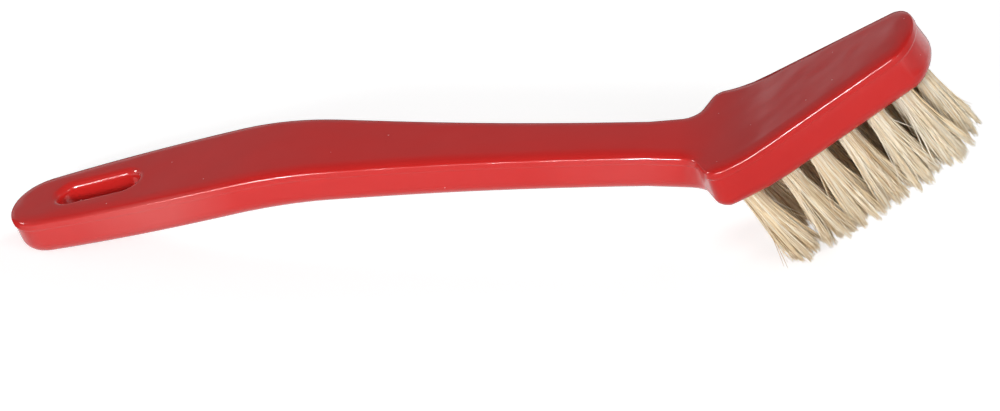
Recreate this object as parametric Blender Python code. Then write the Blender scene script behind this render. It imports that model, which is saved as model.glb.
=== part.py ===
"""Shoe polish dauber: a one-piece moulded handle and head, drilled and set with wire-anchored fibre tufts.

The handle is drawn as a flat plan: distance along its spine against distance across it. The plan is
walled, filleted and then bent along the spine, which is the side profile of the top face.
"""

import math
import random

import bmesh
import bpy
import numpy as np
from mathutils import Matrix, Vector
from mathutils.geometry import interpolate_bezier

# Spine of the top face from tail to toe, with the neck level: lengths in metres, slopes in degrees
HANDLE_LENGTH = 0.1725
HEAD_LENGTH = 0.0605
TAIL_SLOPE = 13.5
TAIL_RUN = 0.0590
HUMP_ARC = 0.0260
NECK_BEND_LEAD = 0.0062
NECK_BEND_ARC = 0.0234
HEAD_SLOPE = 33.2

# Plan of the handle
TAIL_ROUND = 0.0090
TAIL_WIDTH = 0.0212
TAIL_FLARE = 7.2
GRIP_PLACE = 0.0600
GRIP_WIDTH = 0.0269
GRIP_EASE = 0.0280
NECK_WIDTH = 0.0167
NECK_EASE = 0.0600
NECK_FLARE = 0.0012
NECK_FLARE_RUN = 0.0114
HOLLOW_RADIUS = 0.0057

# Plan of the head
SHOULDER_WIDTH = 0.0384
SHOULDER_SKEW = 0.0041
SHOULDER_RADIUS = 0.0036
TOE_WIDTH = 0.0218
TOE_ROUND = 0.0059

# Walls: the neck thickens into the head over HEAD_THICKENING. The mould parts below the top edge, where
# the lower half steps in a little, and from there down the wall has its draft.
TAIL_THICKNESS = 0.0106
NECK_THICKNESS = 0.0107
HEAD_THICKNESS = 0.0118
HEAD_THICKENING = 0.0140
TOP_EDGE_INSET = 0.0036
TOP_EDGE_DROP = 0.0014
PARTING_DEPTH = 0.0026
PARTING_STEP = 0.0003
PARTING_DROP = 0.0005
MOULD_DRAFT = 1.0
UNDER_EDGE_RADIUS = 0.0036
CORNER_CORE = 0.0004  # smallest radius that rounding an edge leaves inside a corner
ROOM_GROWTH = 0.2  # how fast the room for rounding grows away from a tight corner

# Hanging slot: its throat, and how far its rounded rims spread beyond the throat
SLOT_FROM_TAIL = 0.0131
SLOT_LENGTH = 0.0210
SLOT_WIDTH = 0.0078
SLOT_TOP_RIM = 0.0020
SLOT_UNDER_RIM = 0.0010

# Tuft rows, measured from the start of the head and from the toe
SIDE_ROW_TUFTS = 6
MIDDLE_ROW_TUFTS = 7
SIDE_ROW_HEEL = 0.0090
SIDE_ROW_TOE = 0.0107
SIDE_ROW_INSET = 0.0066
MIDDLE_ROW_HEEL = 0.0089
MIDDLE_ROW_TOE = 0.0063

# Holes and tufts: the lean is towards the toe, the splay is towards the sides
HOLE_DIAMETER = 0.0050
HOLE_DEPTH = 0.0072
TUFT_LENGTH = 0.0235
TUFT_SPREAD = 0.0084
TUFT_LEAN = 1.7
SIDE_ROW_SPLAY = 7.9
TRIM_UNEVENNESS = 0.0014
STRANDS = 20
STRAND_ROOT_WIDTH = 0.00048
STRAND_TIP_WIDTH = 0.00095
STRAND_BEND_PLACE = 0.45  # share of a strand's length
STRAND_BEND_OPENING = 0.3  # share of its spread that it has at the bend

# Wire anchors, each driven across the fold of its tuft and into the wall on both sides
WIRE_HEIGHT = 0.0016
WIRE_THICKNESS = 0.0005
WIRE_BITE = 0.0006
WIRE_FROM_BOTTOM = 0.0012
FIT_GAP = 0.0003

# Pieces to a quarter turn and to a fillet, sides of a hole and of a tuft's root, a piece's length along a run
CORNER_STEPS = 7
FILLET_STEPS = 4
TOP_EDGE_STEPS = 6
UNDER_EDGE_STEPS = 6
HOLE_SIDES = 12
PLUG_SIDES = 10
RUN_STEP = 0.0042

SMOOTH_ANGLE = 40.0
HOLLOW_SHARE = 0.55  # most of a side that the hollow's arc may take
SHOULDER_SHARE = 0.4  # most of a side that the shoulder's arc may take
QUARTER_CIRCLE = 0.5523  # a Bezier handle of this share of the radius draws a quarter circle
CUTTER_OVERRUN = 0.0015

RED = (0.62, 0.042, 0.038)
STRAW = (0.66, 0.55, 0.36)
STEEL = (0.60, 0.58, 0.55)


def clear_scene():
    for item in list(bpy.data.objects):
        bpy.data.objects.remove(item, do_unlink=True)


def material(name, colour, roughness, metallic):
    made = bpy.data.materials.new(name)
    made.use_nodes = True
    shader = made.node_tree.nodes["Principled BSDF"]
    shader.inputs["Base Color"].default_value = (*colour, 1.0)
    shader.inputs["Roughness"].default_value = roughness
    shader.inputs["Metallic"].default_value = metallic
    return made


def mesh_of(name, build):
    """The finished mesh of a bmesh, with its faces turned outwards."""
    bmesh.ops.recalc_face_normals(build, faces=build.faces)
    mesh = bpy.data.meshes.new(name)
    build.to_mesh(mesh)
    build.free()
    mesh.shade_smooth()
    mesh.set_sharp_from_angle(angle=math.radians(SMOOTH_ANGLE))
    return mesh


def add_object(name, mesh, parent, finish=None):
    item = bpy.data.objects.new(name, mesh)
    bpy.context.scene.collection.objects.link(item)
    item.parent = parent
    if finish:
        mesh.materials.append(finish)
    return item


def as_cutter(item):
    item.hide_render = True
    item.display_type = "WIRE"
    return item


def cut(item, cutter, name):
    modifier = item.modifiers.new(name, "BOOLEAN")
    modifier.operation = "DIFFERENCE"
    modifier.solver = "EXACT"
    modifier.object = cutter


def blend(a, b, share):
    """From a to b, easing out of one and into the other."""
    share = min(max(share, 0.0), 1.0)
    return a + (b - a) * share * share * (3 - 2 * share)


# The spine and the bending of the plan along it


def spine_sections():
    """The runs and arcs of the spine: length, slope at the start and slope at the end, in radians."""
    tail = math.radians(TAIL_SLOPE)
    head = math.radians(HEAD_SLOPE)
    neck_run = HANDLE_LENGTH - NECK_BEND_LEAD - TAIL_RUN - HUMP_ARC
    head_run = HEAD_LENGTH + NECK_BEND_LEAD - NECK_BEND_ARC
    return [
        (TAIL_RUN, tail, tail),
        (HUMP_ARC, tail, 0.0),
        (neck_run, 0.0, 0.0),
        (NECK_BEND_ARC, 0.0, head),
        (head_run, head, head),
    ]


def spine(along):
    """Place x, z and slope of the spine at a distance along it. The end runs carry straight on."""
    x = z = start = 0.0
    sections = spine_sections()
    for number, (length, slope, end_slope) in enumerate(sections, 1):
        last = number == len(sections)
        part = along - start if last else min(along - start, length)
        turn = (end_slope - slope) / length
        if turn:
            x += (math.sin(slope + turn * part) - math.sin(slope)) / turn
            z -= (math.cos(slope + turn * part) - math.cos(slope)) / turn
        else:
            x += part * math.cos(slope)
            z += part * math.sin(slope)
        start += length
        if last or along <= start:
            return x, z, slope + turn * part


def bent(along, across, height):
    """The point at a place of the plan, with its height measured square to the top face."""
    x, z, slope = spine(along)
    return Vector((x - height * math.sin(slope), across, z + height * math.cos(slope)))


def thickness(along):
    bend_start = HANDLE_LENGTH - NECK_BEND_LEAD
    if along < bend_start:
        return blend(TAIL_THICKNESS, NECK_THICKNESS, along / bend_start)
    return blend(NECK_THICKNESS, HEAD_THICKNESS, (along - bend_start) / HEAD_THICKENING)


# The plan of the handle and head


def corner(before, tip, after, radius, room):
    """The arc that rounds a corner, limited to a share of the shorter side."""
    back = (before - tip).normalized()
    ahead = (after - tip).normalized()
    half = back.angle(ahead) / 2
    reach = min(radius / math.tan(half), room * min((before - tip).length, (after - tip).length))
    radius = reach * math.tan(half)
    centre = tip + (back + ahead).normalized() * radius / math.sin(half)
    first = tip + back * reach - centre
    sweep = first.angle_signed(tip + ahead * reach - centre)
    steps = max(2, round(CORNER_STEPS * abs(sweep) / (math.pi / 2)))
    return [centre + Matrix.Rotation(-sweep * i / steps, 2) @ first for i in range(steps + 1)]


def curve(start, start_handle, end_handle, end, step):
    count = max(2, math.ceil((end - start).length / step))
    return interpolate_bezier(start, start + start_handle, end + end_handle, end, count + 1)


def round_end(middle, side, along_side):
    """The curve from the middle of a round end to the side that it runs into."""
    half_width = abs(side.y)
    reach = abs(side.x - middle.x)
    across = Vector((0, QUARTER_CIRCLE * half_width))
    return curve(middle, across, along_side * QUARTER_CIRCLE * reach, side, half_width / CORNER_STEPS)


def half_plan():
    """The outline on the +Y side, from the middle of the tail to the middle of the toe."""
    length = HANDLE_LENGTH + HEAD_LENGTH
    tail_side = Vector((TAIL_ROUND, TAIL_WIDTH / 2))
    grip = Vector((GRIP_PLACE, GRIP_WIDTH / 2))
    neck = Vector((HANDLE_LENGTH - NECK_FLARE_RUN, NECK_WIDTH / 2))
    root = Vector((HANDLE_LENGTH, NECK_WIDTH / 2 + NECK_FLARE))
    shoulder = Vector((HANDLE_LENGTH + SHOULDER_SKEW, SHOULDER_WIDTH / 2))
    toe_side = Vector((length - TOE_ROUND, TOE_WIDTH / 2))
    flare = Vector((math.cos(math.radians(TAIL_FLARE)), math.sin(math.radians(TAIL_FLARE))))
    rear_ease = (GRIP_PLACE - TAIL_ROUND) / 3
    toe_way = (toe_side - shoulder).normalized()

    outline = round_end(Vector((0, 0)), tail_side, -flare)
    outline += curve(tail_side, flare * rear_ease, Vector((-rear_ease, 0)), grip, RUN_STEP)[1:]
    outline += curve(grip, Vector((GRIP_EASE, 0)), Vector((-NECK_EASE, 0)), neck, RUN_STEP)[1:]
    outline += corner(neck, root, shoulder, HOLLOW_RADIUS, HOLLOW_SHARE)
    outline += corner(root, shoulder, toe_side, SHOULDER_RADIUS, SHOULDER_SHARE)
    head_side = curve(outline[-1], toe_way * 0, toe_way * 0, toe_side, RUN_STEP)
    toe_end = round_end(Vector((length, 0)), toe_side, toe_way)
    return outline + head_side[1:] + toe_end[-2::-1]


def outward(points):
    """The way out of the half outline at each of its points, square to it."""
    ways = [Vector((-1, 0))]
    for before, after in zip(points, points[2:]):
        run = (after - before).normalized()
        ways.append(Vector((-run.y, run.x)))
    return ways + [Vector((1, 0))]


def corner_radius(before, point, after):
    """The radius of the outline where it turns round an outer corner."""
    first = point - before
    second = after - point
    turn = second.angle_signed(first)
    if turn >= 0:
        return math.inf
    return (first.length + second.length) / 2 / -turn


def eased(rooms, points):
    """The room for rounding at each point, with gradual changes along the outline."""
    return [
        min(room + ROOM_GROWTH * (point - other).length for room, other in zip(rooms, points))
        for point in points
    ]


def wall_profile(total, room):
    """Inset and height down the wall. Its edges are rounded as far as the room in a corner allows.

    The top edge is a quarter of an ellipse, stepped by equal turns of the way it faces.
    """
    reach = min(TOP_EDGE_INSET, room - CORNER_CORE)
    facings = [math.pi / 2 * i / TOP_EDGE_STEPS for i in range(TOP_EDGE_STEPS + 1)]
    turns = [math.atan2(reach * math.sin(a), TOP_EDGE_DROP * math.cos(a)) for a in facings]
    top = [(reach * (1 - math.sin(a)), TOP_EDGE_DROP * (math.cos(a) - 1)) for a in turns]
    ledge = [(0.0, -PARTING_DEPTH), (PARTING_STEP, -PARTING_DEPTH - PARTING_DROP)]

    drafted = total - PARTING_DEPTH - PARTING_DROP - UNDER_EDGE_RADIUS
    inset = PARTING_STEP + drafted * math.tan(math.radians(MOULD_DRAFT))
    radius = min(UNDER_EDGE_RADIUS, room - inset - CORNER_CORE)
    turns = [math.pi / 2 * i / UNDER_EDGE_STEPS for i in range(UNDER_EDGE_STEPS + 1)]
    under = [(inset + radius * (1 - math.cos(a)), radius * (1 - math.sin(a)) - total) for a in turns]
    return top + ledge + under


def body_mesh():
    """The solid body: a ring of points for each step down the wall, and strips across both faces."""
    half = half_plan()
    ways = outward(half)
    last = len(half) - 1
    around = [(i, 1) for i in range(last + 1)] + [(i, -1) for i in range(last - 1, 0, -1)]
    size = len(around)
    rooms = [math.inf] + [corner_radius(*three) for three in zip(half, half[1:], half[2:])] + [math.inf]
    walls = [wall_profile(thickness(point.x), room) for point, room in zip(half, eased(rooms, half))]
    build = bmesh.new()
    rings = []
    for level in range(len(walls[0])):
        corners = []
        for i, side in around:
            inset, height = walls[i][level]
            place = half[i] - ways[i] * inset
            corners.append(build.verts.new(bent(place.x, side * place.y, height)))
        rings.append(corners)
    for upper, lower in zip(rings, rings[1:]):
        for i in range(size):
            j = (i + 1) % size
            build.faces.new((upper[i], upper[j], lower[j], lower[i]))
    for face in (rings[0], rings[-1]):
        for i in range(last):
            strip = [face[i], face[i + 1], face[(size - i - 1) % size], face[(size - i) % size]]
            build.faces.new(list(dict.fromkeys(strip)))
    return mesh_of("handle", build)


# The hanging slot


def slot_outline(spread):
    """The slot's stadium outline in plan, as far outside the throat as asked."""
    radius = SLOT_WIDTH / 2
    rear = SLOT_FROM_TAIL + radius
    front = SLOT_FROM_TAIL + SLOT_LENGTH - radius
    steps = 2 * CORNER_STEPS
    points = []
    for centre, start in ((front, -math.pi / 2), (rear, math.pi / 2)):
        for i in range(steps + 1):
            turn = start + math.pi * i / steps
            points.append((centre + (radius + spread) * math.cos(turn), (radius + spread) * math.sin(turn)))
    return points


def slot_levels():
    """Spread and height down the slot: a flare over the top face, both round rims, and a flare below."""
    total = thickness(SLOT_FROM_TAIL + SLOT_LENGTH / 2)
    turns = [math.pi / 2 * i / FILLET_STEPS for i in range(FILLET_STEPS + 1)]
    top = [(SLOT_TOP_RIM * (1 - math.sin(a)), SLOT_TOP_RIM * (math.cos(a) - 1)) for a in turns[1:]]
    under = [
        (SLOT_UNDER_RIM * (1 - math.cos(a)), SLOT_UNDER_RIM * (1 - math.sin(a)) - total)
        for a in turns[:-1]
    ]
    flare = 1 / math.tan(turns[1] / 2)
    above = (top[0][0] + flare * (CUTTER_OVERRUN - top[0][1]), CUTTER_OVERRUN)
    below = (under[-1][0] + flare * (CUTTER_OVERRUN + total + under[-1][1]), -total - CUTTER_OVERRUN)
    return [above] + top + under + [below]


def slot_cutter(parent):
    build = bmesh.new()
    rings = []
    for spread, height in slot_levels():
        rings.append([build.verts.new(bent(x, y, height)) for x, y in slot_outline(spread)])
    size = len(rings[0])
    for upper, lower in zip(rings, rings[1:]):
        for i in range(size):
            j = (i + 1) % size
            build.faces.new((upper[i], upper[j], lower[j], lower[i]))
    build.faces.new(rings[0])
    build.faces.new(rings[-1])
    return as_cutter(add_object("slot_cutter", mesh_of("slot_cutter", build), parent))


# Tuft places, holes, tufts and anchors


def side_at(along):
    """Half the head's width where its side is straight."""
    start = Vector((HANDLE_LENGTH + SHOULDER_SKEW, SHOULDER_WIDTH / 2))
    end = Vector((HANDLE_LENGTH + HEAD_LENGTH - TOE_ROUND, TOE_WIDTH / 2))
    return start.y + (end.y - start.y) * (along - start.x) / (end.x - start.x)


def spaced(count, heel, toe):
    start = HANDLE_LENGTH + heel
    end = HANDLE_LENGTH + HEAD_LENGTH - toe
    return [start + (end - start) * i / (count - 1) for i in range(count)]


def tuft_places():
    """Row, number and matrix of each tuft: its hole's mouth is the origin, and +Z points out of the hole."""
    rows = [("near", -1, SIDE_ROW_TUFTS), ("middle", 0, MIDDLE_ROW_TUFTS), ("far", 1, SIDE_ROW_TUFTS)]
    places = []
    for row, side, count in rows:
        heel, toe = (SIDE_ROW_HEEL, SIDE_ROW_TOE) if side else (MIDDLE_ROW_HEEL, MIDDLE_ROW_TOE)
        for number, along in enumerate(spaced(count, heel, toe)):
            across = side * (side_at(along) - SIDE_ROW_INSET)
            mouth = bent(along, across, -thickness(along))
            way = Matrix.Rotation(math.radians(180 - HEAD_SLOPE - TUFT_LEAN), 4, "Y")
            way @= Matrix.Rotation(math.radians(-side * SIDE_ROW_SPLAY), 4, "X")
            places.append((row, number + 1, Matrix.Translation(mouth) @ way))
    return places


def ring(radius, height, sides):
    """Corners of a level ring whose flat sides face +X and -X."""
    turns = [2 * math.pi * (i + 0.5) / sides for i in range(sides)]
    return [Vector((radius * math.cos(a), radius * math.sin(a), height)) for a in turns]


def keyhole(height):
    """A hole's section: the round bore with a groove at each side for the ends of the wire."""
    reach = HOLE_DIAMETER / 2 + WIRE_BITE + FIT_GAP
    half = WIRE_THICKNESS / 2 + FIT_GAP
    bore = ring(HOLE_DIAMETER / 2, height, HOLE_SIDES)
    right = [Vector((bore[0].x, -half, height)), Vector((reach, -half, height))]
    right += [Vector((reach, half, height)), Vector((bore[0].x, half, height))]
    left = [Vector((-point.x, -point.y, height)) for point in right]
    middle = HOLE_SIDES // 2
    return right + bore[:middle] + left + bore[middle:]


def hole_cutter(places, parent):
    """All the holes' cutters in one mesh: prisms that stand clear of each other."""
    build = bmesh.new()
    for _, _, place in places:
        outer = [build.verts.new(place @ point) for point in keyhole(CUTTER_OVERRUN)]
        inner = [build.verts.new(place @ point) for point in keyhole(-HOLE_DEPTH)]
        size = len(outer)
        for i in range(size):
            j = (i + 1) % size
            build.faces.new((outer[i], outer[j], inner[j], inner[i]))
        build.faces.new(outer)
        build.faces.new(inner)
    return as_cutter(add_object("hole_cutter", mesh_of("hole_cutter", build), parent))


def sunflower(count, width, depth):
    """Places spread evenly over an oval, each turned from the last by the golden angle."""
    golden = math.pi * (3 - math.sqrt(5))
    places = []
    for i in range(count):
        reach = math.sqrt((i + 0.5) / count) / 2
        places.append(Vector((width * reach * math.cos(i * golden), depth * reach * math.sin(i * golden))))
    return places


def tip_room():
    """How far strand tips may spread along a row before they would reach the next tuft."""
    side = spaced(SIDE_ROW_TUFTS, SIDE_ROW_HEEL, SIDE_ROW_TOE)
    middle = spaced(MIDDLE_ROW_TUFTS, MIDDLE_ROW_HEEL, MIDDLE_ROW_TOE)
    pitch = min(side[1] - side[0], middle[1] - middle[0]) * math.cos(math.radians(TUFT_LEAN))
    return pitch - STRAND_TIP_WIDTH - FIT_GAP


def add_plug(build, radius, bottom, wire_low, wire_high, top):
    """The folded root of a tuft, a round plug with a tunnel for the wire. Its top ring's edges come back."""
    half = WIRE_THICKNESS / 2 + FIT_GAP
    first, before_turn, after_turn, last = 0, PLUG_SIDES // 2 - 1, PLUG_SIDES // 2, PLUG_SIDES - 1
    rings = []
    for height in (bottom, wire_low, wire_high, top):
        corners = ring(radius, height, PLUG_SIDES)
        for i in (first, before_turn, after_turn, last):
            corners[i].y = math.copysign(half, corners[i].y)
        rings.append([build.verts.new(point) for point in corners])
    for level, (lower, upper) in enumerate(zip(rings, rings[1:])):
        for i in range(PLUG_SIDES):
            j = (i + 1) % PLUG_SIDES
            if level != 1 or i not in (before_turn, last):
                build.faces.new((lower[i], lower[j], upper[j], upper[i]))
    low, high = rings[1], rings[2]
    for a, b in ((first, before_turn), (last, after_turn)):
        build.faces.new((low[a], low[b], high[b], high[a]))
    for level in (low, high):
        build.faces.new((level[first], level[before_turn], level[after_turn], level[last]))
    build.faces.new(rings[0])
    return rings[3]


def strand_sections(root, tip, chance):
    """Three triangles of a strand: at its root, where it bends and at its tip."""
    length = TUFT_LENGTH - TRIM_UNEVENNESS * chance.random()
    twist = chance.random() * 2 * math.pi
    sections = []
    for share, opened in ((0, 0), (STRAND_BEND_PLACE, STRAND_BEND_OPENING), (1, 1)):
        middle = root.lerp(tip, opened)
        radius = (STRAND_ROOT_WIDTH + (STRAND_TIP_WIDTH - STRAND_ROOT_WIDTH) * share) / 2
        height = -FIT_GAP + (length + FIT_GAP) * share
        section = []
        for i in range(3):
            turn = twist + 2 * math.pi * i / 3
            x = middle.x + radius * math.cos(turn)
            y = middle.y + radius * math.sin(turn)
            section.append(Vector((x, y, height)))
        sections.append(section)
    return sections


def tuft_mesh(name, chance, hand):
    """A folded root plug and its strands, which open out evenly, so none crosses another.

    A hand of -1 mirrors the tuft.
    """
    radius = HOLE_DIAMETER / 2 - FIT_GAP
    wire_low = -HOLE_DEPTH + WIRE_FROM_BOTTOM
    build = bmesh.new()
    top = add_plug(
        build,
        radius,
        -HOLE_DEPTH + FIT_GAP,
        wire_low - FIT_GAP,
        wire_low + WIRE_HEIGHT + FIT_GAP,
        -FIT_GAP,
    )
    loops = [top]
    root_spread = 2 * (radius - STRAND_ROOT_WIDTH)
    roots = sunflower(STRANDS, root_spread, root_spread)
    tips = sunflower(STRANDS, tip_room(), TUFT_SPREAD)
    for root, tip in zip(roots, tips):
        sections = [
            [build.verts.new(point) for point in section] for section in strand_sections(root, tip, chance)
        ]
        for lower, upper in zip(sections, sections[1:]):
            for i in range(3):
                j = (i + 1) % 3
                build.faces.new((lower[i], lower[j], upper[j], upper[i]))
        build.faces.new(sections[-1])
        loops.append(sections[0])
    edges = []
    for loop in loops:
        for i, vert in enumerate(loop):
            edges.append(build.edges.get((vert, loop[(i + 1) % len(loop)])))
    bmesh.ops.triangle_fill(build, use_beauty=True, use_dissolve=False, edges=edges)
    bmesh.ops.scale(build, vec=(1, hand, 1), verts=build.verts)
    return mesh_of(name, build)


def anchor_mesh():
    """A short flat strip of wire lying across the hole."""
    build = bmesh.new()
    middle = -HOLE_DEPTH + WIRE_FROM_BOTTOM + WIRE_HEIGHT / 2
    size = (HOLE_DIAMETER + 2 * WIRE_BITE, WIRE_THICKNESS, WIRE_HEIGHT)
    bmesh.ops.create_cube(build, matrix=Matrix.Translation((0, 0, middle)) @ Matrix.Diagonal((*size, 1)))
    return mesh_of("anchor", build)


# Standing the brush on the table: its tail and its heel tufts touch


def corners_of(items):
    """Every mesh corner in the stand's own frame, as an array."""
    found = []
    for item in items:
        found += [item.matrix_basis @ vert.co for vert in item.data.vertices]
    return np.array(found)


def resting_edge(points, balance):
    """The two corners of the side view that touch the table, either side of the balance point."""
    under = []
    for x, z in sorted((x, z) for x, _, z in points):
        while len(under) > 1:
            (x1, z1), (x2, z2) = under[-2:]
            if (x2 - x1) * (z - z1) > (z2 - z1) * (x - x1):
                break
            under.pop()
        under.append((x, z))
    for first, second in zip(under, under[1:]):
        if first[0] <= balance < second[0]:
            return first, second


def stand_up(stand, items):
    """Turns the stand so that the brush rests on the table, its box centred over the origin."""
    points = corners_of(items)
    (x1, z1), (x2, z2) = resting_edge(points, HANDLE_LENGTH / 2)
    turn = Matrix.Rotation(math.atan2(z2 - z1, x2 - x1), 4, "Y")
    turned = points @ np.array(turn.to_3x3()).T
    low = turned.min(axis=0)
    high = turned.max(axis=0)
    stand.rotation_euler = turn.to_euler()
    stand.location = (-(low[0] + high[0]) / 2, -(low[1] + high[1]) / 2, -low[2])


def build_brush():
    clear_scene()
    stand = bpy.data.objects.new("stand", None)
    bpy.context.scene.collection.objects.link(stand)
    red = material("gloss_red_plastic", RED, roughness=0.18, metallic=0.0)
    straw = material("straw_fibre", STRAW, roughness=0.75, metallic=0.0)
    steel = material("anchor_wire", STEEL, roughness=0.35, metallic=1.0)

    places = tuft_places()
    handle = add_object("handle", body_mesh(), stand, red)
    cut(handle, slot_cutter(stand), "hanging slot")
    cut(handle, hole_cutter(places, stand), "tuft holes")

    wire = anchor_mesh()
    wire.materials.append(steel)
    tufts = []
    for row, number, place in places:
        name = f"{row}_{number}"
        hand = -1 if row == "near" else 1
        mesh = tuft_mesh(f"tuft_{name}", random.Random(number), hand)
        tuft = add_object(f"tuft_{name}", mesh, stand, straw)
        anchor = add_object(f"anchor_{name}", wire, stand)
        tuft.matrix_basis = place
        anchor.matrix_basis = place
        tufts.append(tuft)
    stand_up(stand, [handle] + tufts)


build_brush()
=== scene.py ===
import math

import bpy
import numpy as np
from mathutils import Matrix, Vector


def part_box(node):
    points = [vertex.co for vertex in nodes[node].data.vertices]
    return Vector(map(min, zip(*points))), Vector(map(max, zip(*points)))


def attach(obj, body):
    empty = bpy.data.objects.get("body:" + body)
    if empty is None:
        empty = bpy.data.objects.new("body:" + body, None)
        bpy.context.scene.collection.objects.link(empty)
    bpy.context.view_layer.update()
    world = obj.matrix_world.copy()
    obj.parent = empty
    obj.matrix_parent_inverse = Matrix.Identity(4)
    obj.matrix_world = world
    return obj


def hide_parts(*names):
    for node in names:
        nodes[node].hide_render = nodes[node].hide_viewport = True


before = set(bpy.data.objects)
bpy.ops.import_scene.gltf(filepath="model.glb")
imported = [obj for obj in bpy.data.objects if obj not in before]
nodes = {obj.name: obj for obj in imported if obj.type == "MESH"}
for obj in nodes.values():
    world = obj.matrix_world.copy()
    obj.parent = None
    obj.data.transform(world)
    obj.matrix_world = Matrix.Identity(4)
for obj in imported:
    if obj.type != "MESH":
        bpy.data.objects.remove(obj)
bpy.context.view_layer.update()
print("brush loaded:", len(nodes), "solids")


# The camera stands where the photographer stood.

photoView = {
    "azimuth": 8.4910,       # degrees round the brush from straight in front
    "elevation": 32.3844,    # degrees above the floor
    "roll": 4.7750,          # degrees that the camera was tipped
    "distance": 0.9,         # metres from the point it looks at
    "lens": 133.050,         # millimetres
    "sensor": 36,            # millimetres wide
    "clip": (0.01, 20),      # nearest and farthest that it sees, in metres
    "lookAt": (0.002127, 0.0, 0.009057),
}


def direction(azimuth, elevation):
    # azimuth 0 points at the viewer's side, -Y; 90 points along +X
    turn, rise = math.radians(azimuth), math.radians(elevation)
    flat = math.cos(rise)
    return Vector((math.sin(turn) * flat, -math.cos(turn) * flat, math.sin(rise)))


def placeCamera(v):
    # its right and up directions are the level ones, turned about the line of sight by the roll
    back = direction(v["azimuth"], v["elevation"])
    turn, roll = math.radians(v["azimuth"]), math.radians(v["roll"])
    level = Vector((math.cos(turn), math.sin(turn), 0))
    upright = back.cross(level)
    right = math.cos(roll) * level - math.sin(roll) * upright
    up = math.sin(roll) * level + math.cos(roll) * upright
    data = bpy.data.cameras.new("camera")
    data.lens, data.sensor_width = v["lens"], v["sensor"]
    data.clip_start, data.clip_end = v["clip"]
    camera = bpy.data.objects.new("camera", data)
    bpy.context.scene.collection.objects.link(camera)
    axes = Matrix((right, up, back)).transposed().to_4x4()
    spot = Vector(v["lookAt"]) + back * v["distance"]
    camera.matrix_world = Matrix.Translation(spot) @ axes
    bpy.context.scene.camera = camera


placeCamera(photoView)
print("camera placed")


# The nodes that finishes are made of.

def feed(tree, socket, value):
    # an input takes a plain value or another node's output
    if isinstance(value, bpy.types.NodeSocket):
        tree.links.new(value, socket)
    else:
        socket.default_value = value


def addNode(tree, kind, *inOrder, **byName):
    # a node whose inputs are filled in order or by name
    node = tree.nodes.new(kind)
    for socket, value in zip(node.inputs, inOrder):
        feed(tree, socket, value)
    for name, value in byName.items():
        feed(tree, node.inputs[name], value)
    return node


def calculate(tree, operation, *values):
    # one sum, product or comparison of the values
    node = tree.nodes.new("ShaderNodeMath")
    node.operation = operation
    for socket, value in zip(node.inputs, values):
        feed(tree, socket, value)
    return node.outputs[0]


def scaled(tree, vector, factor):
    # vector times factor
    node = tree.nodes.new("ShaderNodeVectorMath")
    node.operation = "SCALE"
    feed(tree, node.inputs[0], vector)
    feed(tree, node.inputs["Scale"], factor)
    return node.outputs[0]


def remap(tree, value, start, end, low=0.0, high=1.0):
    # low where the value is at start, high where it is at end, even between and level beyond
    return addNode(tree, "ShaderNodeMapRange", value, start, end, low, high).outputs[0]


mixSockets = {"FLOAT": (2, 3, 0), "RGBA": (6, 7, 2)}    # first input, second input, output


def mix(tree, kind, share, first, second):
    # share 0 gives the first value or colour, 1 the second
    node = tree.nodes.new("ShaderNodeMix")
    node.data_type = kind
    firstAt, secondAt, outAt = mixSockets[kind]
    for place, value in ((0, share), (firstAt, first), (secondAt, second)):
        feed(tree, node.inputs[place], value)
    return node.outputs[outAt]


def grey(brightness):
    # the opaque colour with this much of each of its parts
    return (brightness, brightness, brightness, 1)


def ramp(tree, place, stops):
    # a value or colour that changes evenly from stop to stop, each with its place between 0 and 1
    node = addNode(tree, "ShaderNodeValToRGB", place)
    marks = node.color_ramp.elements
    marks.remove(marks[1])
    for number, (share, value) in enumerate(stops):
        mark = marks.new(share) if number else marks[0]
        mark.position = share
        mark.color = value if isinstance(value, tuple) else grey(value)
    return node.outputs["Color"]


def pointNodes(tree, kind):
    # a point, in the object's own coordinates or as a direction in the sky, and its x, y and z
    where = tree.nodes.new("ShaderNodeTexCoord").outputs[kind]
    return where, addNode(tree, "ShaderNodeSeparateXYZ", where).outputs


# The studio: soft lamps, a pale world and a white floor.

studio = {
    # azimuth, elevation, distance, width, height, power in watts, and its work: it lights the
    # brush, it is only mirrored in it, along the near edges and at the corners, or it does both
    "lamps": {
        "front": (-16, 20, 1.2, 0.38, 0.20, 9.0, "both"),
        "shine": (-12, 20, 1.25, 0.22, 0.20, 8.5, "mirrored"),
        "wideShine": (-20, 20, 1.3, 0.60, 0.20, 13.0, "mirrored"),
        "toeShine": (37, 25, 1.25, 0.10, 0.10, 1.5, "mirrored"),
        "heelShine": (-98, 20, 1.25, 0.20, 0.20, 4.0, "mirrored"),
        "key": (45, 28, 1.2, 0.60, 0.50, 3.9, "lights"),
        "rim": (140, 38, 1.3, 0.50, 0.35, 5.2, "lights"),
    },
    "aim": (0.01, 0.0, 0.02),
    # how high in the sky, how bright
    "sky": (
        (0.0, 0.80), (0.06, 0.70), (0.13, 0.50), (0.20, 0.29), (0.45, 0.27), (0.62, 0.26),
        (0.85, 0.08),
    ),
}

floorLook = {
    "half": 6,                   # metres from its middle to each side
    "colour": 0.70,
    "glowSeen": 0.64,            # how brightly it glows to the camera
    "glowMirrored": 0.56,        # and in reflections
    # reflections find it dark behind the brush: from not at all to fully, in metres
    "darkY": (0.03, 0.05),
    "darkX": (0.15, 0.11),
    "darkColour": 0.08,
}


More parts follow.
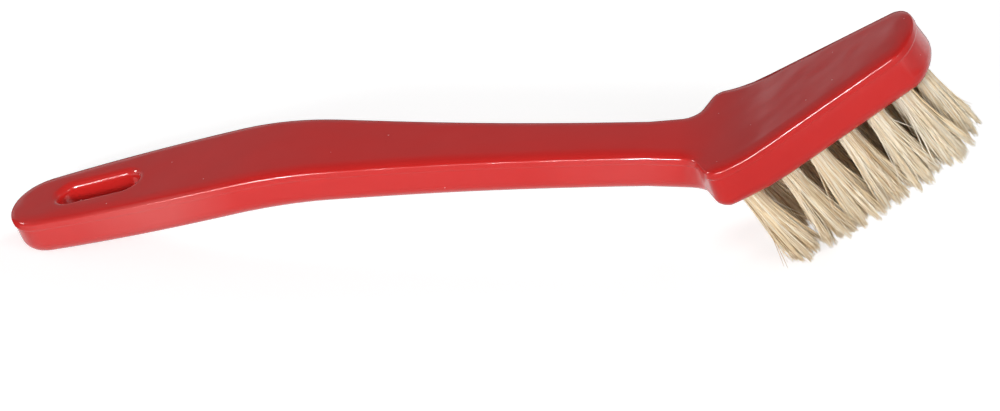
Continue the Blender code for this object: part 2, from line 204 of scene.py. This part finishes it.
def hangLamp(name, azimuth, elevation, distance, width, height, power, work, aim):
    # a flat lamp that hangs at aim plus direction times distance and faces the aim
    data = bpy.data.lights.new(name, "AREA")
    data.shape, data.size, data.size_y, data.energy = "RECTANGLE", width, height, power
    lamp = bpy.data.objects.new(name, data)
    bpy.context.scene.collection.objects.link(lamp)
    way = direction(azimuth, elevation)
    lamp.location = Vector(aim) + way * distance
    lamp.rotation_euler = (-way).to_track_quat("-Z", "Y").to_euler()
    lamp.visible_diffuse = work != "mirrored"
    lamp.visible_glossy = work != "lights"


def lightWorld(sky):
    # bright at the horizon and dimmer overhead: the ramp reads how high a ray points
    world = bpy.data.worlds.new("studioWorld")
    world.use_nodes = True
    tree = world.node_tree
    way = pointNodes(tree, "Generated")[1]
    feed(tree, tree.nodes["Background"].inputs["Color"], ramp(tree, way["Z"], sky))
    bpy.context.scene.world = world


def layFloor(f):
    # A diffuse floor that takes the shadow. It glows by glowSeen times "is seen by the camera" plus
    # glowMirrored times "is seen in a reflection", and reflections find it dark behind the brush.
    half = f["half"]
    mesh = bpy.data.meshes.new("floor")
    square = [(-half, -half, 0), (half, -half, 0), (half, half, 0), (-half, half, 0)]
    mesh.from_pydata(square, [], [(0, 1, 2, 3)])
    floor = bpy.data.objects.new("floor", mesh)
    bpy.context.scene.collection.objects.link(floor)
    finish = bpy.data.materials.new("floorWhite")
    finish.use_nodes = True
    tree = finish.node_tree
    tree.nodes.remove(tree.nodes["Principled BSDF"])
    rays = tree.nodes.new("ShaderNodeLightPath").outputs
    mirrored = rays["Is Glossy Ray"]
    seen = calculate(tree, "MULTIPLY", rays["Is Camera Ray"], f["glowSeen"])
    strength = calculate(tree, "MULTIPLY_ADD", mirrored, f["glowMirrored"], seen)
    glow = addNode(tree, "ShaderNodeEmission", Strength=strength).outputs[0]
    plain = addNode(tree, "ShaderNodeBsdfDiffuse", Color=grey(f["colour"])).outputs[0]
    white = addNode(tree, "ShaderNodeAddShader", plain, glow).outputs[0]
    dark = addNode(tree, "ShaderNodeBsdfDiffuse", Color=grey(f["darkColour"])).outputs[0]
    at = pointNodes(tree, "Object")[1]
    sideways = remap(tree, at["X"], *f["darkX"])
    behind = calculate(tree, "MULTIPLY", sideways, remap(tree, at["Y"], *f["darkY"]))
    share = calculate(tree, "MULTIPLY", behind, mirrored)
    shown = addNode(tree, "ShaderNodeMixShader", share, white, dark).outputs[0]
    feed(tree, tree.nodes["Material Output"].inputs["Surface"], shown)
    mesh.materials.append(finish)


for lampName, lamp in studio["lamps"].items():
    hangLamp(lampName, *lamp, studio["aim"])
lightWorld(studio["sky"])
layFloor(floorLook)
bpy.context.scene.view_settings.view_transform = "Standard"
print("studio lit")


# The finishes: red plastic, straw and steel.

plastic = {
    "deep": (0.600, 0.019, 0.017, 1),
    "fresh": (0.660, 0.025, 0.022, 1),
    # also the colour of the painted sheen on the walls
    "speck": (0.80, 0.30, 0.28, 1),
    "patch": 75,                  # patches of the two reds per metre
    "patchDetail": (3.0, 0.6),    # how fine and how rough the patches' edges are
    "gloss": (0.10, 0.20),        # roughness where it is shiniest and dullest
    "ior": 1.52,
    "shine": 0.5,                 # how strongly it mirrors, away from its walls
    "ripple": 95,                 # ripples of the moulded skin per metre
    "rippleDetail": (1.0, 0.4),
    "rippleDepth": 0.00032,
    "specks": 150,                # cells per metre that may hold a speck
    "speckSize": 0.026,
    "wallEdge": (-0.0009, -0.0003),    # metres past the outline where a wall starts and is full
    "reach": 0.12,                # what follows is given up to this far from the brush's middle
    # metres towards the toe, and the share of its brightness that the red keeps there: painted shade
    # that darkens the head
    "depth": (
        (-0.110, 0.98), (-0.055, 0.98), (0.017, 0.97), (0.045, 0.97), (0.062, 0.82), (0.110, 0.86),
    ),
    # and how shiny the walls are
    "wallShine": (
        (-0.1160, 0.0), (-0.1120, 0.45), (-0.080, 0.50), (-0.055, 0.38), (0.012, 0.34),
        (0.022, 0.50), (0.040, 0.55), (0.050, 0.30), (0.062, 0.19), (0.105, 0.22),
    ),
    # and how much a painted sheen pales the walls
    "paintedSheen": (
        (-0.116, 0.03), (-0.100, 0.05), (-0.084, 0.17), (-0.076, 0.165), (-0.060, 0.0),
        (0.024, 0.0), (0.036, 0.02), (0.048, 0.0),
    ),
}

# shares of the handle's length, from its tail, where its outline is read
outlineShares = (
    0.004, 0.010, 0.020, 0.045, 0.09, 0.15, 0.22, 0.29, 0.36, 0.43, 0.50, 0.56, 0.62, 0.67, 0.70,
    0.72, 0.74, 0.755, 0.77, 0.785, 0.80, 0.83, 0.87, 0.91, 0.95, 0.965, 0.98, 0.990, 0.996,
)

straw = {
    # a fibre's tone, and its colour: dark, tan, pale and bleached
    "tones": (
        (0.0, (0.56, 0.37, 0.18, 1)), (0.25, (0.86, 0.68, 0.43, 1)),
        (0.65, (0.95, 0.81, 0.59, 1)), (1.0, (0.98, 0.91, 0.76, 1)),
    ),
    "rootShade": 0.84,            # how dark a fibre is at its root: painted shade near the head
    "rootReach": (-0.1, 0.35),    # shares of a fibre's length between which that shade fades
    "roughness": 0.5,
    "ior": 1.45,
    "shine": 0.4,
}

steel = {
    "colour": (0.60, 0.58, 0.55, 1),
    "roughness": (0.28, 0.45),
    "grain": 2600,                # grains per metre
    "grainDetail": 2.0,
}


def newFinish(name):
    # an empty material, its tree and its shader
    finish = bpy.data.materials.new(name)
    finish.use_nodes = True
    return finish, finish.node_tree, finish.node_tree.nodes["Principled BSDF"]


def paint(tree, shader, looks):
    # each look goes into the shader's input of that name
    for name, value in looks.items():
        feed(tree, shader.inputs[name], value)


def noise(tree, where, scale, detail, roughness=0.5):
    # clouds from 0 to 1, about scale of them in a metre
    inputs = {"Vector": where, "Scale": scale, "Detail": detail, "Roughness": roughness}
    return addNode(tree, "ShaderNodeTexNoise", **inputs).outputs["Fac"]


def meshCorners(mesh):
    # the points of a mesh, and for each corner of its triangles the number of its point
    points = np.empty(len(mesh.vertices) * 3)
    mesh.vertices.foreach_get("co", points)
    corners = np.empty(len(mesh.loops), int)
    mesh.loops.foreach_get("vertex_index", corners)
    return points.reshape(-1, 3), corners


def nearOutline(node, low, high, shares):
    # How far the wall on the viewer's side stands from the middle line at each place: the farthest
    # of the points where the edges of the mesh's triangles cross x = place.
    points, corners = meshCorners(node.data)
    a = points[corners]
    b = np.roll(a.reshape(-1, 3, 3), -1, axis=1).reshape(-1, 3)
    outline = []
    for x in low + (high - low) * np.array(shares):
        cut = (a[:, 0] - x) * (b[:, 0] - x) < 0
        share = (x - a[cut, 0]) / (b[cut, 0] - a[cut, 0])
        outline.append((float(x), -float((a[cut, 1] + share * (b[cut, 1] - a[cut, 1])).min())))
    return outline


def redPlastic(p, outline):
    # Two reds in patches with small pale specks and faint ripples. A point is on a wall where it
    # stands as far from the middle line as the outline does: there the painted sheen and wallShine
    # count.
    finish, tree, shader = newFinish("redPlastic")
    where, at = pointNodes(tree, "Object")
    share = remap(tree, at["X"], -p["reach"], p["reach"])

    def along(stops):
        # a ramp from the tail to the toe, its stops in metres
        return ramp(tree, share, [((x + p["reach"]) / (2 * p["reach"]), v) for x, v in stops])

    aside = calculate(tree, "ABSOLUTE", at["Y"])
    wall = remap(tree, calculate(tree, "SUBTRACT", aside, along(outline)), *p["wallEdge"])
    patches = noise(tree, where, p["patch"], *p["patchDetail"])
    ripples = noise(tree, where, p["ripple"], *p["rippleDetail"])
    cells = addNode(tree, "ShaderNodeTexVoronoi", Vector=where, Scale=p["specks"])
    speck = calculate(tree, "LESS_THAN", cells.outputs["Distance"], p["speckSize"])
    bump = addNode(tree, "ShaderNodeBump", Strength=1.0, Distance=p["rippleDepth"], Height=ripples)
    red = mix(tree, "RGBA", patches, p["deep"], p["fresh"])
    # painted sheen: the walls paled towards the speck colour, most near the tail
    red = mix(tree, "RGBA", calculate(tree, "MULTIPLY", along(p["paintedSheen"]), wall), red, p["speck"])
    red = mix(tree, "RGBA", speck, red, p["speck"])
    paint(tree, shader, {
        # painted shade: the red darkened towards the head
        "Base Color": scaled(tree, red, along(p["depth"])),
        "Roughness": remap(tree, patches, 0.0, 1.0, *p["gloss"]),
        "Normal": bump.outputs[0],
        "IOR": p["ior"],
        "Specular IOR Level": mix(tree, "FLOAT", wall, p["shine"], along(p["wallShine"])),
    })
    return finish


def fibreValue(tree, name):
    # what giveValues gave each point of the fibres under this name
    node = tree.nodes.new("ShaderNodeAttribute")
    node.attribute_name = name
    return node.outputs["Fac"]


def strawFibre(s):
    # each fibre's own tone picks its colour, and a painted shade, darkest at the root, fades out
    # towards the open end
    finish, tree, shader = newFinish("strawFibre")
    shade = remap(tree, fibreValue(tree, "along"), *s["rootReach"], s["rootShade"])
    paint(tree, shader, {
        "Base Color": scaled(tree, ramp(tree, fibreValue(tree, "tone"), s["tones"]), shade),
        "Roughness": s["roughness"],
        "IOR": s["ior"],
        "Specular IOR Level": s["shine"],
    })
    return finish


def anchorSteel(s):
    # bare wire, duller in some grains than in others
    finish, tree, shader = newFinish("anchorSteel")
    grain = noise(tree, pointNodes(tree, "Object")[0], s["grain"], s["grainDetail"])
    paint(tree, shader, {
        "Base Color": s["colour"],
        "Metallic": 1,
        "Roughness": remap(tree, grain, 0.0, 1.0, *s["roughness"]),
    })
    return finish


tailEnd, toeEnd = (corner[0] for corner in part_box("handle"))
redSkin = redPlastic(plastic, nearOutline(nodes["handle"], tailEnd, toeEnd, outlineShares))
strawSkin, steelSkin = strawFibre(straw), anchorSteel(steel)
print("finishes mixed")


# The moulded handle and the anchor wires are CAD solids, shaded smooth.

handleLook = {"sharpest": 30}        # degrees; a steeper edge between two faces stays crisp
anchorLook = {"sharpest": 30}
tiny = 1e-20                         # stands in for a length of zero
decimals = 6                         # points whose metres agree to this many decimals are one


def shadeRound(node, sharpest):
    # A corner's normal is the sum of the normals, weighted by area, of the triangles that meet at
    # its point and turn from its own triangle by less than the sharpest angle.
    mesh = node.data
    points, corners = meshCorners(mesh)
    a, b, c = (points[corners[k::3]] for k in range(3))
    area = np.cross(b - a, c - a)
    facing = area / np.maximum(np.linalg.norm(area, axis=1), tiny)[:, None]
    spot = np.unique(np.round(points, decimals), axis=0, return_inverse=True)[1]
    spot = spot.reshape(-1)[corners]
    order = np.argsort(spot, kind="stable")
    crowd = np.bincount(spot)
    start = np.cumsum(crowd) - crowd
    meets = crowd[spot[order]]
    mine = np.repeat(order, meets)       # mine and other: every pair of corners at one point
    step = np.arange(len(mine)) - np.repeat(np.cumsum(meets) - meets, meets)
    other = order[np.repeat(start[spot[order]], meets) + step]
    agree = np.einsum("ij,ij->i", facing[mine // 3], facing[other // 3])
    alike = agree > math.cos(math.radians(sharpest))
    normals = np.zeros((len(corners), 3))
    np.add.at(normals, mine[alike], area[other[alike] // 3])
    normals /= np.maximum(np.linalg.norm(normals, axis=1), tiny)[:, None]
    mesh.polygons.foreach_set("use_smooth", np.ones(len(mesh.polygons), bool))
    mesh.normals_split_custom_set(normals)


def dress(node, look, finish):
    # a solid's own triangles stay, shaded smooth and in one finish
    shadeRound(node, look["sharpest"])
    node.data.materials.clear()
    node.data.materials.append(finish)


dress(nodes["handle"], handleLook, redSkin)
for name, node in nodes.items():
    if name.startswith("anchor"):
        dress(node, anchorLook, steelSkin)
print("handle and anchors dressed")


# The tufts are natural fibres, folded in half over their anchor wire.

tuft = {
    "headSlope": 34.04,          # degrees that the head rises towards its toe
    "lean": 1.7,                 # degrees that tufts lean towards the toe
    "splay": 7.9,                # degrees that the side rows lean outwards
    "anchorDepth": 0.0052,       # from a hole's mouth to the middle of its wire
    "foldDepth": 0.0060,         # where fibres start to turn under the wire
    "foldDrop": 0.00030,         # how much deeper the fold itself is, besides
    "foldShare": 0.30,           # this share of half its width
    "wireRoom": 0.00045,         # nearest that a fibre passes the wire's middle
    "holeReach": 0.0022,         # farthest that a fibre stands from the hole's axis
    "rootJitter": 0.03,          # how uneven the places in the hole are, in hole radiuses
    "midGap": 0.08,              # nearest to the fold line, in hole radiuses
    "folded": 250,               # folded fibres, with two ends each
    "thickness": 0.00022,
    "thicknessRange": (0.75, 1.15),
    "taperFrom": 0.7,            # share of the length where a fibre starts to thin
    "taperOver": 0.3,            # share of the length over which it does
    "taperLoss": 0.65,           # share of the thickness that it loses
    "taperPower": 1.5,
    "length": 0.0235,            # from the mouth to the trimmed ends
    "uneven": 0.0018,            # how much shorter a fibre may be
    "unevenPower": 1.6,          # the higher, the fewer fibres are much shorter
    "lockUneven": 0.0014,        # how much shorter a whole lock may be
    "pointing": 0.0034,          # how much shorter it gets towards its rim, a hole radius away
    "spreadAlong": 0.0052,       # half the width of the open end, along the row
    "spreadAcross": 0.0042,
    "opening": 1.55,             # power of the curve by which a tuft opens
    "clumps": 12,                # fibres stick together in this many locks
    "lockJitter": 0.10,          # how uneven the locks' places are
    "sticking": 0.56,            # share of the way that a fibre is drawn to its lock's middle
    "endJitter": 0.05,
    "curl": 0.00055,             # how far a fibre wanders from its course
    "secondWave": 0.5,           # strength of the quicker of its two waves
    "strays": 0.05,              # share of fibres that stand out
    "strayReach": 0.0030,
    "strayShort": 0.12,          # share of its length that a stray fibre may lose
    "sides": 4,
    "floorGap": 0.0002,
    "tone": 0.40,                # mean tone, 0 dark to 1 bleached, before the painted light that each tuft adds
    "paintedLightStep": 0.06,            # added for each tuft along its row, towards the toe: painted light that pales the toe's tufts
    "toneSpread": 0.30,
    "seedStep": 100,             # between the random seeds of two rows
}

# how far a tuft's open end is brushed towards the toe, in metres
brushed = {
    "near_1": 0.0022,
    "near_2": 0.0012,
    "near_3": 0.0006,
    "near_4": 0.0004,
    "near_5": 0.0005,
    "near_6": 0.0008,
    "middle_1": 0.0014,
    "middle_7": -0.0016,
}

# shares of a fibre's length: from its end to the hole's mouth, then beside and under the wire
armShares = np.array([1.0, 0.87, 0.70, 0.48, 0.24, 0.0])
foldShares = np.array([-0.2, -0.3, -0.2])
rowSides = {"near": -1, "middle": 0, "far": 1}


def evenDisc(count):
    # Places spread evenly over a disc of radius 1: place k lies sqrt((k + 0.5) / count) from its
    # middle, and each is turned from the last by the golden angle.
    k = np.arange(count)
    reach, turn = np.sqrt((k + 0.5) / count), k * math.pi * (3 - math.sqrt(5))
    return np.stack([reach * np.cos(turn), reach * np.sin(turn)], axis=1)


def fibreArms(t, chance, brush):
    # Middles of a tuft's fibre ends, in hole terms: towards the toe, across, out of the hole.
    # A fibre starts at its place in the hole and moves by share ** opening towards its place at the
    # open end. Its lock draws it in, and two waves, sin of half and of a whole turn over its
    # length, times share, make it wander.
    roots = evenDisc(2 * t["folded"])
    half = roots[roots[:, 1] > 0]
    sides = np.repeat([[1.0, 1.0], [1.0, -1.0]], len(half), axis=0)
    roots = np.tile(half, (2, 1)) + chance.normal(0, t["rootJitter"], (2 * len(half), 2))
    roots = np.maximum(roots, (-1, t["midGap"])) * sides
    locks = evenDisc(t["clumps"]) + chance.normal(0, t["lockJitter"], (t["clumps"], 2))
    nearest = np.argmin(((roots[:, None] - locks) ** 2).sum(axis=2), axis=1)
    drawn = t["sticking"] * (locks[nearest] - roots)
    ends = roots + drawn + chance.normal(0, t["endJitter"], roots.shape)
    ends = ends * (t["spreadAlong"], t["spreadAcross"])
    stray = (chance.random(len(roots)) < t["strays"])[:, None]
    ends = ends + stray * chance.normal(0, t["strayReach"], roots.shape) + (brush, 0)
    lengths = t["length"] - t["uneven"] * chance.random(len(roots)) ** t["unevenPower"]
    lengths -= t["lockUneven"] * chance.random(t["clumps"])[nearest]
    lengths -= t["pointing"] * np.linalg.norm(roots - locks[nearest], axis=1)
    lengths = lengths * (1 - t["strayShort"] * chance.random(len(roots)) * stray[:, 0])
    s = armShares[None, :, None]
    begin = roots[:, None] * t["holeReach"]
    course = begin + (ends[:, None] - begin) * s ** t["opening"]
    wander = chance.normal(0, t["curl"], (2, len(roots), 1, 2))
    slow, quick = np.sin(math.pi * s), np.sin(2 * math.pi * s)
    course = course + wander[0] * slow * s + wander[1] * quick * t["secondWave"] * s
    out = (armShares[None, :] * lengths[:, None])[:, :, None]
    return np.concatenate([course, out], axis=2), roots * t["holeReach"]


def foldedFibres(t, arms, roots):
    # Middles along whole fibres: one arm from its end to the mouth, down past the wire, under it,
    # and up the other arm to its end.
    count = len(arms) // 2
    first, second = arms[:count], arms[count:, ::-1]
    beside = np.maximum(np.abs(roots[:, 1]), t["wireRoom"])
    deep = -np.full(len(roots), t["foldDepth"])
    down = np.stack([roots[:, 0], np.sign(roots[:, 1]) * beside, deep], axis=1)
    under = (roots[:count] + roots[count:]) / 2
    low = -t["foldDepth"] - t["foldDrop"] - t["foldShare"] * beside[:count]
    turn = np.stack([under[:, 0], np.zeros(count), low], axis=1)
    whole = [first, down[:count, None], turn[:, None], down[count:, None], second]
    return np.concatenate(whole, axis=1)


def sweep(middles, radius, sides, twist):
    # A tube round each line of middles. A ring's point is its middle plus the radius times level
    # cos turn + square sin turn, where level and square stand square to the line's direction and
    # level is as near as can be to the toe direction. Gives points and faces, the ends closed.
    count, rings = middles.shape[:2]
    ahead = np.gradient(middles, axis=1)
    ahead /= np.linalg.norm(ahead, axis=2, keepdims=True)
    level = np.array([1.0, 0, 0]) - ahead * ahead[:, :, :1]
    level /= np.linalg.norm(level, axis=2, keepdims=True)
    square = np.cross(ahead, level)
    turn = (twist[:, None, None] + 2 * math.pi * np.arange(sides) / sides)[..., None]
    ring = level[:, :, None] * np.cos(turn) + square[:, :, None] * np.sin(turn)
    points = middles[:, :, None] + radius[:, :, None, None] * ring
    index = np.arange(count * rings * sides).reshape(count, rings, sides)
    turned = np.roll(index, -1, axis=2)
    walls = np.stack([index[:, :-1], turned[:, :-1], turned[:, 1:], index[:, 1:]], axis=-1)
    caps = np.concatenate([index[:, 0, ::-1], index[:, -1]])
    return points.reshape(-1, 3), np.concatenate([walls.reshape(-1, 4), caps])


def quadPiece(name, points, faces):
    # a mesh of quads from arrays of points and of four corners a face
    mesh = bpy.data.meshes.new(name)
    mesh.vertices.add(len(points))
    mesh.vertices.foreach_set("co", points.astype(np.float32).ravel())
    mesh.loops.add(faces.size)
    mesh.loops.foreach_set("vertex_index", faces.astype(np.int32).ravel())
    mesh.polygons.add(len(faces))
    mesh.polygons.foreach_set("loop_start", np.arange(0, faces.size, 4, dtype=np.int32))
    mesh.update(calc_edges=True)
    mesh.validate()
    mesh.polygons.foreach_set("use_smooth", np.ones(len(mesh.polygons), bool))
    piece = bpy.data.objects.new(name, mesh)
    bpy.context.scene.collection.objects.link(piece)
    return piece


def giveValues(mesh, name, values):
    # one value for each point, for the finish to read
    attribute = mesh.attributes.new(name, "FLOAT", "POINT")
    attribute.data.foreach_set("value", values.astype(np.float32))


def holeAxes(t, side):
    # Directions of a hole in the row on this side: towards the toe, rising by the slope; across; and
    # out of it, square to the first and leaning to the side by the splay.
    slope, splay = math.radians(t["headSlope"] + t["lean"]), math.radians(side * t["splay"])
    toToe = np.array([math.cos(slope), 0, math.sin(slope)])
    flat, down = math.sin(slope) * math.cos(splay), -math.cos(slope) * math.cos(splay)
    out = np.array([flat, math.sin(splay), down])
    across = np.cross(out, toToe)
    return np.stack([toToe, across * np.sign(across[1]), out])


def keepOffFloor(t, arms, roots, mouth, axes):
    # each fibre end is drawn back towards its root, in proportion, until its tip clears the floor
    tips = mouth[2] + arms[:, 0] @ axes[:, 2]
    share = np.minimum(1, (mouth[2] - t["floorGap"]) / (mouth[2] - tips))[:, None, None]
    start = np.concatenate([roots, np.zeros((len(roots), 1))], axis=1)[:, None]
    return arms * share + (1 - share) * start


def plantTuft(t, row, number):
    # One tuft in the place of its solid. A fibre's radius shrinks by taperLoss times r ** taperPower,
    # where r rises from 0 at taperFrom of its length to 1 when it has gone taperOver more.
    side = rowSides[row]
    chance = np.random.default_rng(t["seedStep"] * (side + 2) + number)
    axes = holeAxes(t, side)
    low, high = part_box(f"anchor_{row}_{number}")
    mouth = (np.array(low) + np.array(high)) / 2 + axes[2] * t["anchorDepth"]
    arms, roots = fibreArms(t, chance, brushed.get(f"{row}_{number}", 0))
    middles = foldedFibres(t, keepOffFloor(t, arms, roots, mouth, axes), roots)
    count, rings = middles.shape[:2]
    reach = np.concatenate([armShares, foldShares, armShares[::-1]])
    thick = t["thickness"] / 2 * chance.uniform(*t["thicknessRange"], (count, 1))
    thinning = np.clip((reach - t["taperFrom"]) / t["taperOver"], 0, 1) ** t["taperPower"]
    twist = chance.uniform(0, 2 * math.pi, count)
    points, faces = sweep(middles, thick * (1 - t["taperLoss"] * thinning), t["sides"], twist)
    if np.linalg.det(axes) < 0:
        faces = faces[:, ::-1]
    piece = quadPiece(f"fibres_{row}_{number}", points @ axes + mouth, faces)
    giveValues(piece.data, "along", np.repeat(np.tile(reach, count), t["sides"]))
    # painted light: each tuft further towards the toe is paler
    tone = t["tone"] + t["paintedLightStep"] * number
    tones = np.clip(chance.normal(tone, t["toneSpread"], count), 0, 1)
    giveValues(piece.data, "tone", np.repeat(tones, rings * t["sides"]))
    piece.data.materials.append(strawSkin)
    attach(piece, "root")
    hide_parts(f"tuft_{row}_{number}")
    return len(piece.data.polygons)


faceCount = 0
for name in sorted(nodes):
    if name.startswith("tuft"):
        row, number = name.split("_")[1:]
        faceCount += plantTuft(tuft, row, int(number))
print("tufts planted:", faceCount, "faces")
